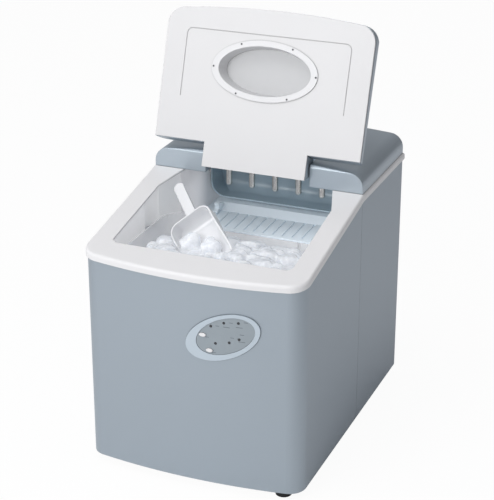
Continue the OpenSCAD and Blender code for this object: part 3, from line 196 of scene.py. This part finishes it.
def solid(name, colour, rough, metallic=0.0, spread=0.04, grain=0.02, fine=0.0008, depth=0.00002,
          glow=0.0, seam=None, shadow=0.3, **sockets):
    """An opaque finish: a base colour with broad and fine variation, a slight texture and soft edges.
    Shade can be painted into narrow seams, and a glow is painted light that brightens a piece in shade."""
    f = Finish(name)
    broad = f.noise(BROAD_DRIFT, 3)
    small = f.noise(fine, 2)
    tone = f.mix(broad, shade(colour, 1 - spread), shade(colour, 1 + spread))
    tone = f.mix(small * 0.5, tone, shade(colour, 1 - grain * 2))
    # painted shade in narrow seams and gaps, dark to shadow times the colour
    if seam:
        tone = f.seam(tone, seam, shade(colour, shadow))
    normal = f.bump(small, depth, f.edge(SOFT_EDGE))
    inputs = {"Base Color": tone, "Roughness": rough - ROUGH_DRIFT / 2 + broad * ROUGH_DRIFT,
              "Metallic": metallic, "Normal": normal}
    # a painted glow: the piece gives light of its own, though it is no lamp
    if glow:
        inputs.update({"Emission Color": tone, "Emission Strength": glow})
    inputs.update({key.replace("_", " "): value for key, value in sockets.items()})
    return f.done(f.node("BsdfPrincipled", {}, inputs))


print("the opaque finish is ready")

# %% [markdown]
# ## The camera
# The viewpoint is a little to the right of the front and above the lid's hinge, looking down into the
# basket. A long lens keeps the upright edges nearly parallel.

# %% Place the camera
TURN = math.radians(22.3)
TILT = math.radians(23.1)
LENS = 114.0
EYE = Vector((0.7729, -1.8909, 1.1334))
gaze = Vector((-math.sin(TURN) * math.cos(TILT), math.cos(TURN) * math.cos(TILT), -math.sin(TILT)))
camera = bpy.data.objects.new("camera", bpy.data.cameras.new("camera"))
camera.data.lens = LENS
camera.data.sensor_width = 36
camera.data.clip_end = 20
camera.location = EYE
camera.rotation_euler = gaze.to_track_quat("-Z", "Y").to_euler()
bpy.context.collection.objects.link(camera)
bpy.context.scene.camera = camera
bpy.context.scene.view_settings.view_transform = "Standard"
print("camera at", [round(v, 3) for v in EYE])

# %% [markdown]
# ## The world
# A studio is bright where its soft boxes stand and dark elsewhere, and metal looks like metal because
# it mirrors both. So the world is brighter in front and to the left than behind and to the right. The
# background is white by its own colour and not by extra light: only what the camera sees directly is
# plain white, and every other ray, reflections among them, meets the softer fill.

# %% World
WHITE = (1, 1, 1, 1)
COOL_FILL = (0.96, 0.97, 1, 1)
BRIGHT_SIDE = Vector((-0.7, -0.7, 0.35)).normalized()
DARK_FILL = 0.16
BRIGHT_FILL = 0.74


def backdrop_world():
    """A studio that is bright in front and to the left, with a dark flag behind and to the right."""
    f = Finish("studio", bpy.data.worlds)
    along = f.node("VectorMath", {"operation": "DOT_PRODUCT"},
                   {0: f.node("TexCoord", out="Generated"), 1: BRIGHT_SIDE}, out="Value")
    level = f.node("MapRange", {}, {"Value": along, "From Min": -1.0, "To Min": DARK_FILL,
                                    "To Max": BRIGHT_FILL})
    fill = f.node("Background", {}, {"Color": COOL_FILL, "Strength": level})
    plain = f.node("Background", {}, {"Color": WHITE, "Strength": 1.0})
    seen = f.node("LightPath", out="Is Camera Ray")
    return f.done(f.node("MixShader", {}, {0: seen, 1: fill, 2: plain}), "OutputWorld")


bpy.context.scene.world = backdrop_world()
print("the world's fill runs from", DARK_FILL, "to", BRIGHT_FILL)

# %% [markdown]
# ## The floor
# The machine stands on a pale matt floor, which gives some light back to it. As in the world, the
# camera sees the floor mostly as plain white, so only a trace of the machine's shadow shows.

# %% Floor
FLOOR_SIZE = 6
FLOOR_DROP = 0.0002      # metres under the feet
FLOOR_WHITE = 0.95       # share of plain white in what the camera sees of the floor


def floor_finish():
    f = Finish("floor_white")
    pale = f.node("BsdfDiffuse", {}, {"Color": f.mix(f.noise(0.5), (0.90, 0.90, 0.91, 1),
                                                     (0.93, 0.93, 0.93, 1))})
    glow = f.node("Emission", {}, {"Color": WHITE, "Strength": 1.0})
    seen = f.node("LightPath", out="Is Camera Ray")
    return f.done(f.node("MixShader", {}, {0: seen * FLOOR_WHITE, 1: pale, 2: glow}))


def build_floor():
    mesh = bpy.data.meshes.new("floor")
    form = bmesh.new()
    bmesh.ops.create_grid(form, x_segments=2, y_segments=2, size=FLOOR_SIZE)
    form.to_mesh(mesh)
    form.free()
    floor = bpy.data.objects.new("floor", mesh)
    floor.location.z = -FLOOR_DROP
    mesh.materials.append(floor_finish())
    bpy.context.collection.objects.link(floor)


build_floor()
print("the floor lies at", -FLOOR_DROP)

# %% [markdown]
# ## The lamps
# A product is lit by big soft boxes, so that its curved metal shows broad gentle highlights. A small
# lamp would give hard bright spots instead. The key stands in front and to the left and the other one
# above, both as wide as a real soft box.

# %% Lamps
SOFT_BOX = (1.2, 1.0)    # metres
AIM = (0, 0, 0.3)        # about the middle of the machine


def lamp(name, place, power):
    data = bpy.data.lights.new(name, "AREA")
    data.shape = "RECTANGLE"
    data.size, data.size_y = SOFT_BOX
    data.energy = power
    made = bpy.data.objects.new(name, data)
    made.location = place
    made.rotation_euler = (Vector(AIM) - Vector(place)).to_track_quat("-Z", "Y").to_euler()
    bpy.context.collection.objects.link(made)


lamp("key", (-0.75, -2.3, 1.5), 27)
lamp("top", (-0.3, -0.7, 2.4), 14)
print("lit by", len(bpy.data.lights), "lamps")

# %% [markdown]
# ## Metallic paint
# The cabinet carries a silver paint with fine flakes, and the grey covers a pigment much like it. It
# could be a grey with its light and dark painted in, but that would be wrong as soon as the light or
# the view changed. A metallic surface takes them from the studio instead. Seen from the front, upright
# faces mirror the bright front of the room and the flat tops mirror its dim rear. Only the shade in
# narrow seams is painted in.

# %% Paint
FLAKES = 2600.0          # flakes along a metre
PATCH = 0.12             # metres across a patch of slightly other tone
PEEL = 0.0016            # metres across a ripple of the coat
PEEL_DEPTH = 0.00001
PAINT_CREASE_SHADE = 0.0018      # metres of reach for the painted shade in seams


def painted_steel(name, colour, metallic=0.8, rough=0.42, edge=0.0007):
    """Metallic paint: fine flakes under a satin coat, lit by the studio, with shade painted into seams."""
    f = Finish(name)
    flake = f.node("TexVoronoi", {"feature": "F1"}, {"Vector": f.place(), "Scale": FLAKES}, out="Color")
    spark = f.node("SeparateColor", {}, {"Color": flake})
    speck = spark * 0.12 + f.noise(PATCH, 2) * 0.06
    # the flakes' tone, with shade painted into narrow seams
    tone = f.seam(f.mix(speck, colour + (1,), shade(colour, 1.25)), PAINT_CREASE_SHADE, shade(colour, 0.35))
    normal = f.bump(f.noise(PEEL, 1), PEEL_DEPTH, f.edge(edge))
    return f.done(f.node("BsdfPrincipled", {}, {
        "Base Color": tone, "Metallic": metallic, "Roughness": rough + spark * 0.1, "Normal": normal,
        "Coat Weight": 0.15, "Coat Roughness": 0.25}))


print("paint is ready")

# %% [markdown]
# ## Clear plastic
# The basket, the scoop and the window are thin clear mouldings. True refraction through thin walls is
# noisy and dark, so the surface is partly see-through instead, and milkier where it is seen at a slant,
# because there the eye looks through more plastic.

# %% Clear plastic
PLASTIC_IOR = 1.49
HAZE = 0.03              # metres across a patch of haze
RIPPLE = 0.01            # metres across a ripple of the surface
RIPPLE_DEPTH = 0.00004
CLEAR_EDGE = 0.0005


def clear_moulding(name, colour, centre, rim, rough=0.18):
    """Clear plastic: see-through face on, and milky at a slant."""
    f = Finish(name)
    haze = f.noise(HAZE, 3)
    tone = f.mix(haze, shade(colour, 0.97), shade(colour, 1.03))
    normal = f.bump(f.noise(RIPPLE, 2), RIPPLE_DEPTH, f.edge(CLEAR_EDGE))
    slant = f.node("LayerWeight", {}, {"Blend": 0.5}, out="Facing")
    cover = f.node("MapRange", {}, {"Value": slant, "To Min": centre, "To Max": rim})
    return f.done(f.node("BsdfPrincipled", {}, {
        "Base Color": tone, "Roughness": rough + haze * 0.08, "IOR": PLASTIC_IOR,
        "Alpha": cover + haze * 0.04, "Normal": normal, "Specular IOR Level": 0.6}))


print("clear plastic is ready")

# %% [markdown]
# ## Ice
# Ice from a machine is part cloudy, part clear, and wet all over. Light goes in and comes out
# elsewhere, so the finish scatters light under the surface, and a small glow adds painted light to
# brighten the heap. Noise makes the clouds, and where they are dense less shows through. A wet coat
# gives the small bright glints.

# %% Ice finish
ICE_IOR = 1.31
CLOUD = 0.014            # metres across a cloud in the ice
WET_RIPPLE = 0.011       # metres across a ripple of the wet skin
WET_DEPTH = 0.004


def ice_finish(name):
    """Wet ice: clouds of noise, light scattered inside, and a bright wet skin."""
    f = Finish(name)
    cloud = f.noise(CLOUD, 5, 0.65)
    tone = f.mix(cloud, (0.62, 0.65, 0.70, 1), (0.90, 0.91, 0.93, 1))
    normal = f.bump(f.noise(WET_RIPPLE, 3, 0.6), WET_DEPTH)
    return f.done(f.node("BsdfPrincipled", {}, {
        "Base Color": tone, "Roughness": 0.06 + cloud * 0.16, "IOR": ICE_IOR, "Normal": normal,
        "Alpha": 0.42 + cloud * 0.5, "Specular IOR Level": 0.9, "Subsurface Weight": 0.5,
        "Subsurface Radius": (0.012, 0.013, 0.014), "Subsurface Scale": 1.0,
        "Coat Weight": 0.6, "Coat Roughness": 0.04,
        # a painted glow: the ice gives light of its own, though it is no lamp
        "Emission Color": tone, "Emission Strength": 0.2}))


print("the ice finish is ready")

# %% [markdown]
# ## The control panel's print
# The panel is a printed film. Its words are left out, and short bars stand where print would be. Each
# bar is a rectangle in the panel's own plane, tested with Compare nodes, so no picture is needed.

# %% Panel print
PRINT_HEIGHT = 0.0004
# across and up from the middle of the panel, and the bar's width, in metres
PRINT = [(-0.0105, 0.0135, 0.005), (0.008, 0.0205, 0.005), (0.028, 0.0235, 0.005),
         (0.002, 0.0135, 0.009), (0.019, 0.0155, 0.009), (-0.0265, -0.0045, 0.008),
         (-0.0170, -0.0250, 0.008), (0.0095, -0.0005, 0.005), (0.0225, 0.0055, 0.006),
         (0.0225, -0.0045, 0.009)]


def panel_finish(name):
    """The printed film: its grey field and the short bars of print beside each lamp and key."""
    f = Finish(name)
    across = f.node("SeparateXYZ", {}, {0: f.place()})
    up = Wire(f, across.socket.node.outputs[2])
    middle = spot("control_overlay")[2]
    prints = None
    for x, z, width in PRINT:
        wide = f.node("Math", {"operation": "COMPARE"}, {0: across, 1: middle.x + x, 2: width / 2})
        tall = f.node("Math", {"operation": "COMPARE"}, {0: up, 1: middle.z + z, 2: PRINT_HEIGHT})
        bar = wide * tall
        prints = bar if prints is None else prints + bar
    field = f.mix(f.noise(0.02, 2), (0.265, 0.305, 0.335, 1), (0.285, 0.325, 0.355, 1))
    return f.done(f.node("BsdfPrincipled", {}, {
        "Base Color": f.mix(prints * 0.8, field, (0.07, 0.08, 0.09, 1)), "Roughness": 0.38}))


print("the panel has", len(PRINT), "bars of print")

# %% [markdown]
# ## The outside
# Each real material is made once and shared by its pieces: silver paint on the wrap and the side
# panels, grey mouldings with a metallic pigment for the rear cover and the lid, white mouldings round
# the mouth, a grey ring with dark lamp lenses, and the window. Colours are written in linear light.

# %% Outer finishes
SILVER = (0.37, 0.42, 0.465)
finishes = {
    # all but the lenses and the window have shade painted into their narrow seams
    "front_metal": painted_steel("front_metal", SILVER),
    "side_metal": painted_steel("side_metal", SILVER),
    "grey_plastic": painted_steel("grey_plastic", (0.43, 0.49, 0.54), 0.6, 0.3, 0.0022),
    "white_plastic": solid("white_plastic", (0.75, 0.745, 0.75), 0.34, grain=0.01, spread=0.01,
                           seam=0.0015),
    "ring_plastic": solid("ring_plastic", (0.47, 0.54, 0.60), 0.3, metallic=0.1, seam=0.0018,
                          Coat_Weight=0.2),
    "dark_lens": solid("dark_lens", (0.02, 0.022, 0.026), 0.15, Coat_Weight=0.5),
    # the pane is nearly opaque, and its grey is painted in for the view through the clear window
    "window_plastic": clear_moulding("window_plastic", (0.46, 0.465, 0.475), 0.92, 1.0, 0.3),
}
print("made", len(finishes), "outer finishes")

# %% [markdown]
# ## Where the ice is made
# The linings are plain white, the water tray and the slide have a bluish tint, the freezing fingers
# are plated with nickel, and yellowish foam keeps the cold in. The linings are a lighter white than
# the mouldings round the mouth, as painted light in the shaded tub, and the slide has a little
# painted glow to lift its shade.

# %% Inner finishes
finishes.update({
    # a lighter white than the mouldings round the mouth: painted light inside the tub
    "lining": solid("lining", (0.86, 0.86, 0.865), 0.4, grain=0.01, spread=0.01),
    "tray_plastic": solid("tray_plastic", (0.40, 0.50, 0.565), 0.3, grain=0.03),
    # the slide's glow is painted light, lifting it out of the shade under the lid
    "slide_plastic": solid("slide_plastic", (0.78, 0.86, 0.92), 0.3, grain=0.02, glow=0.06),
    "nickel": solid("nickel", (0.62, 0.60, 0.57), 0.2, metallic=1.0, grain=0.03),
    "hose": solid("hose", (0.70, 0.73, 0.73), 0.35),
    "foam": solid("foam", (0.72, 0.69, 0.58), 0.9, fine=0.003, depth=0.0004, grain=0.1),
    "ice": ice_finish("ice"),
})
print("now", len(finishes), "finishes")

# %% [markdown]
# ## Behind the panels
# A machine like this holds zinc sheet, steel, copper pipes, a black compressor, bright fins, green
# boards and rubber. Little of it shows from the front, but it is seen when the machine is taken apart,
# so each has its own finish, made from the same helper.

# %% Finishes behind the panels
finishes.update({
    "zinc_sheet": solid("zinc_sheet", (0.48, 0.49, 0.50), 0.42, metallic=0.85, fine=0.004, grain=0.05),
    "steel_screw": solid("steel_screw", (0.55, 0.56, 0.57), 0.3, metallic=0.95),
    "board": solid("board", (0.01, 0.12, 0.04), 0.45, fine=0.004, grain=0.2),
    "rubber_black": solid("rubber_black", (0.012, 0.012, 0.013), 0.7, fine=0.002, grain=0.2),
    "black_plastic": solid("black_plastic", (0.02, 0.02, 0.022), 0.45, fine=0.0015, grain=0.1),
    "black_steel": solid("black_steel", (0.012, 0.012, 0.014), 0.25, Coat_Weight=0.4),
    "copper": solid("copper", (0.62, 0.26, 0.13), 0.28, metallic=1.0, fine=0.006, grain=0.12),
    "fin_metal": solid("fin_metal", (0.62, 0.63, 0.64), 0.35, metallic=0.95, grain=0.03),
})
print("now", len(finishes), "finishes")

# %% [markdown]
# ## Pieces with a finish of their own
# Some pieces share a material but look different on the real object, such as the very clear basket and
# the milky scoop. The white pieces here differ by painted light instead: the tub and the motor cover
# are a lighter white with a glow, to lift the shade inside the tub, and the lid's liner and the
# window's ring are a darker white. Giving each piece its own material would be simple but would hide
# what they share, so only the odd ones are listed here by piece.

# %% Own finishes
own = {
    # the tub and the motor cover: a lighter white with a painted glow, to lift the shade inside the tub
    "tub": solid("tub_lining", (0.93, 0.93, 0.935), 0.35, grain=0.01, spread=0.01, glow=0.16),
    "motor_cover": solid("cover_lining", (0.88, 0.88, 0.90), 0.35, grain=0.01, spread=0.01, glow=0.06),
    "ice_basket": clear_moulding("clear_basket", (0.92, 0.925, 0.94), 0.24, 0.85, 0.12),
    # the window's ring and the lid's liner: a darker white with painted shade in their seams, and the ring
    # a painted glow
    "window_ring": solid("ring_white", (0.58, 0.58, 0.59), 0.3, grain=0.01, spread=0.01,
                         seam=0.0018, shadow=0.6, glow=0.08),
    "lid_liner": solid("liner_white", (0.62, 0.617, 0.622), 0.36, grain=0.01, spread=0.01,
                       seam=0.0022, shadow=0.68),
    "scoop": clear_moulding("milky_scoop", (0.90, 0.905, 0.92), 0.6, 0.97, 0.16),
    "window_screws": solid("dark_screw", (0.05, 0.052, 0.058), 0.4, metallic=0.6),
    "control_overlay": panel_finish("panel_print"),
}
print(len(own), "pieces have a finish of their own")

# %% [markdown]
# ## Dressing the pieces
# The record names a material slot for every piece, so a loop over the pieces is enough. It looks for a
# finish of the piece's own first, and takes its material's finish otherwise.

# %% Dress the pieces
slots = {part["node"]: part["material_slot"] for part in frame["record"]["subparts"]}
for name, thing in nodes.items():
    if not thing.material_slots:
        thing.data.materials.append(None)
    for slot in thing.material_slots:
        slot.material = own.get(name) or finishes[slots[name]]
print("finished", len(nodes), "nodes with", len(finishes), "finishes")

# %% [markdown]
# ## Where the ice lies
# Ice from such a machine comes as small thimbles, which melt a little and freeze to each other. The
# heap is highest near the front and falls towards the back and the sides, and a formula gives its soft
# top. Lumps are then set around that top, so the heap looks poured and not modelled.

# %% Where ice may lie
HEAP_TOP = 0.297         # metres, at the middle
HEAP_SLOPE = 0.06        # the fall towards the back
HEAP_CROWN = 0.6         # the fall to each side, which grows with the square of the distance
BACK_START = -0.06       # behind this the heap falls faster
BACK_SLOPE = 0.26
MELT_DEPTH = 0.004       # metres below the soft top where melting starts
MELT_SHARE = 0.7         # share of what stands higher that melts away
ice_low, ice_high = spot("ice_pile")[:2]


def heap_top(x, y):
    """Height of the heap's soft top over the floor plan, in metres."""
    drop = BACK_SLOPE * max(0.0, y - BACK_START)
    return HEAP_TOP - HEAP_SLOPE * y - HEAP_CROWN * x * x - drop


def settle(form):
    """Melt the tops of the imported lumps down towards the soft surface."""
    for vertex in form.verts:
        x, y, z = vertex.co
        over = z - (heap_top(x, y) - MELT_DEPTH)
        if over > 0:
            vertex.co.z -= MELT_SHARE * over


print("ice may lie below", round(ice_high.z, 3))

# %% [markdown]
# ## Room for the scoop
# The scoop stands in the ice, and it has to come out without dragging any along. Its bowl is a box in
# the scoop's own tilted frame, so a point is turned into that frame before it is compared. A lump is
# tried against the bowl at many heights, from rest to the end of its way up.

# %% The scoop's way up
SCOOP_AT = (-0.060, -0.038, 0.306)
SCOOP_TURNS = ((45, "Z"), (-65, "X"), (-42, "Z"))
BOWL = ((-0.033, 0.033), (-0.030, 0.0), (-0.078, 0.0))     # lowest and highest x, y and z
LIFT_STEPS = 50
LIFT_STEP = 0.004        # metres
scoop_frame = Matrix.Translation(SCOOP_AT)
for degrees, axis in SCOOP_TURNS:
    scoop_frame = scoop_frame @ Matrix.Rotation(math.radians(degrees), 4, axis)
to_scoop = scoop_frame.inverted()


def in_bowl(point, reach):
    """True if the point is in the scoop's bowl, or within reach metres of it."""
    return all(low - reach < value < high + reach
               for value, (low, high) in zip(to_scoop @ point, BOWL))


def in_the_way(point, reach):
    """True if the scoop would meet a lump there, at rest or on its way up."""
    return any(in_bowl(point - Vector((0, 0, LIFT_STEP * step)), reach) for step in range(LIFT_STEPS))


print("tried up to", round((LIFT_STEPS - 1) * LIFT_STEP, 3), "m above the scoop's place")

# %% [markdown]
# ## One lump of ice
# A machine freezes ice on fingers, so a lump is a short tapered drum. It is turned round a profile
# like work on a lathe, ring by ring, and then tilted and squeezed. The rings become one closed form
# that the remesh can fuse with its neighbours.

# %% Lumps
LUMP_SIDES = 12
# radius and height of each ring, as shares of the lump's size
LUMP_PROFILE = [(0.0, -0.9), (0.72, -0.86), (0.92, -0.6), (0.98, 0.0), (0.84, 0.62), (0.5, 0.9),
                (0.0, 1.0)]
LEAN = 0.9               # radians
SPIN = 6.3               # radians, about a full turn


def add_lump(form, place, size, chance):
    """One melted thimble: a short tapered drum with rounded ends."""
    turn = Euler([chance.uniform(-LEAN, LEAN), chance.uniform(-LEAN, LEAN), chance.uniform(0, SPIN)])
    squeeze = Matrix.Diagonal((chance.uniform(0.85, 1.2), chance.uniform(0.85, 1.2),
                               chance.uniform(0.65, 1.0), 1))
    whole = Matrix.Translation(place) @ turn.to_matrix().to_4x4() @ squeeze
    angles = [2 * math.pi * k / LUMP_SIDES for k in range(LUMP_SIDES)]
    rings = []
    for radius, height in LUMP_PROFILE:
        if radius == 0:
            rings.append([form.verts.new(whole @ Vector((0, 0, height * size)))])
            continue
        rings.append([form.verts.new(whole @ Vector((radius * size * math.cos(a),
                                                     radius * size * math.sin(a), height * size)))
                      for a in angles])
    for under, over in zip(rings, rings[1:]):
        for k in range(LUMP_SIDES):
            n = (k + 1) % LUMP_SIDES
            if len(under) == 1:
                form.faces.new([under[0], over[n], over[k]])
            elif len(over) == 1:
                form.faces.new([under[k], under[n], over[0]])
            else:
                form.faces.new([under[k], under[n], over[n], over[k]])


print("a lump has", LUMP_SIDES, "sides")

# %% [markdown]
# ## Fusing the lumps
# Wet lumps freeze to each other, so they share one skin. Joining them with booleans would leave sharp
# lines where they meet. A voxel remesh wraps them in one even skin instead, and a smoothing pass takes
# the steps of the voxels away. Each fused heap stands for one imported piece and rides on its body.

# %% Fuse
def melt(name, form, voxel, soften, finish, body, node):
    """Fuse the lumps, smooth them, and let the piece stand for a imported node."""
    mesh = bpy.data.meshes.new(name)
    form.to_mesh(mesh)
    form.free()
    made = bpy.data.objects.new(name, mesh)
    bpy.context.collection.objects.link(made)
    fuse = made.modifiers.new("fuse", "REMESH")
    fuse.mode = "VOXEL"
    fuse.voxel_size = voxel
    fuse.use_smooth_shade = True
    calm = made.modifiers.new("calm", "SMOOTH")
    calm.factor = 0.5
    calm.iterations = soften
    mesh.materials.append(finish)
    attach(made, body)
    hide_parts(node)


print("lumps can be fused")

# %% [markdown]
# ## Ice in the basket
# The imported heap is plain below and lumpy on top. It is settled first, and then lumps go down on a
# loose grid, each nudged by its own draw, a little below the heap's soft top. One that would reach out
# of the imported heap's room or stand in the scoop's way is left out. A physics run could drop whole
# lumps instead, but they would have to be fused all the same, and seeded draws give the same heap each
# time.

# %% Pour the basket's ice
BASKET_SEED = 7
ROWS = 7
COLUMNS = 12
FRONT_LEFT = (-0.100, -0.148)
PITCH = 0.0185           # metres between the grid's points
NUDGE = 0.005
LUMP_SIZES = (0.008, 0.0125)
SINK = 0.0105            # a lump's middle lies this far below the soft top
BOB = 0.0035
HEAD_ROOM = 1.3          # in sizes of the lump
SCOOP_ROOM = 1.35        # in sizes of the lump
BASKET_VOXEL = 0.0018
BASKET_SMOOTHING = 9


def pour_basket():
    chance = random.Random(BASKET_SEED)
    form = bmesh.new()
    form.from_mesh(nodes["ice_pile"].data)
    settle(form)
    count = 0
    for row in range(ROWS):
        for column in range(COLUMNS):
            x = FRONT_LEFT[0] + PITCH * column + chance.uniform(-NUDGE, NUDGE)
            y = FRONT_LEFT[1] + PITCH * row + chance.uniform(-NUDGE, NUDGE)
            size = chance.uniform(*LUMP_SIZES)
            place = Vector((x, y, heap_top(x, y) - SINK + chance.uniform(-BOB, BOB)))
            room = ice_low.x + size < x < ice_high.x - size and ice_low.y + size < y < ice_high.y - size
            if not room or place.z + size * HEAD_ROOM > ice_high.z or in_the_way(place, size * SCOOP_ROOM):
                continue
            add_lump(form, place, size, chance)
            count += 1
    melt("ice_heap", form, BASKET_VOXEL, BASKET_SMOOTHING, finishes["ice"], "basket", "ice_pile")
    return count


print("poured", pour_basket(), "lumps into the basket")

# %% [markdown]
# ## Ice in the scoop
# The scoop holds a little ice of its own, which is lifted out with it. Its few lumps are placed at
# listed points in the scoop's frame, because chance could drop one through the wall.

# %% Fill the scoop
SCOOP_SEED = 11
SCOOP_LUMPS = ((-0.012, -0.016, -0.034), (0.010, -0.017, -0.050), (-0.016, -0.015, -0.060))
SCOOP_LUMP_SIZE = 0.008
SCOOP_VOXEL = 0.0016
SCOOP_SMOOTHING = 7


def pour_scoop():
    chance = random.Random(SCOOP_SEED)
    form = bmesh.new()
    form.from_mesh(nodes["scoop_ice"].data)
    for place in SCOOP_LUMPS:
        add_lump(form, scoop_frame @ Vector(place), SCOOP_LUMP_SIZE, chance)
    melt("ice_in_scoop", form, SCOOP_VOXEL, SCOOP_SMOOTHING, finishes["ice"], "scoop", "scoop_ice")


pour_scoop()
print("added", len(SCOOP_LUMPS), "lumps to the scoop")
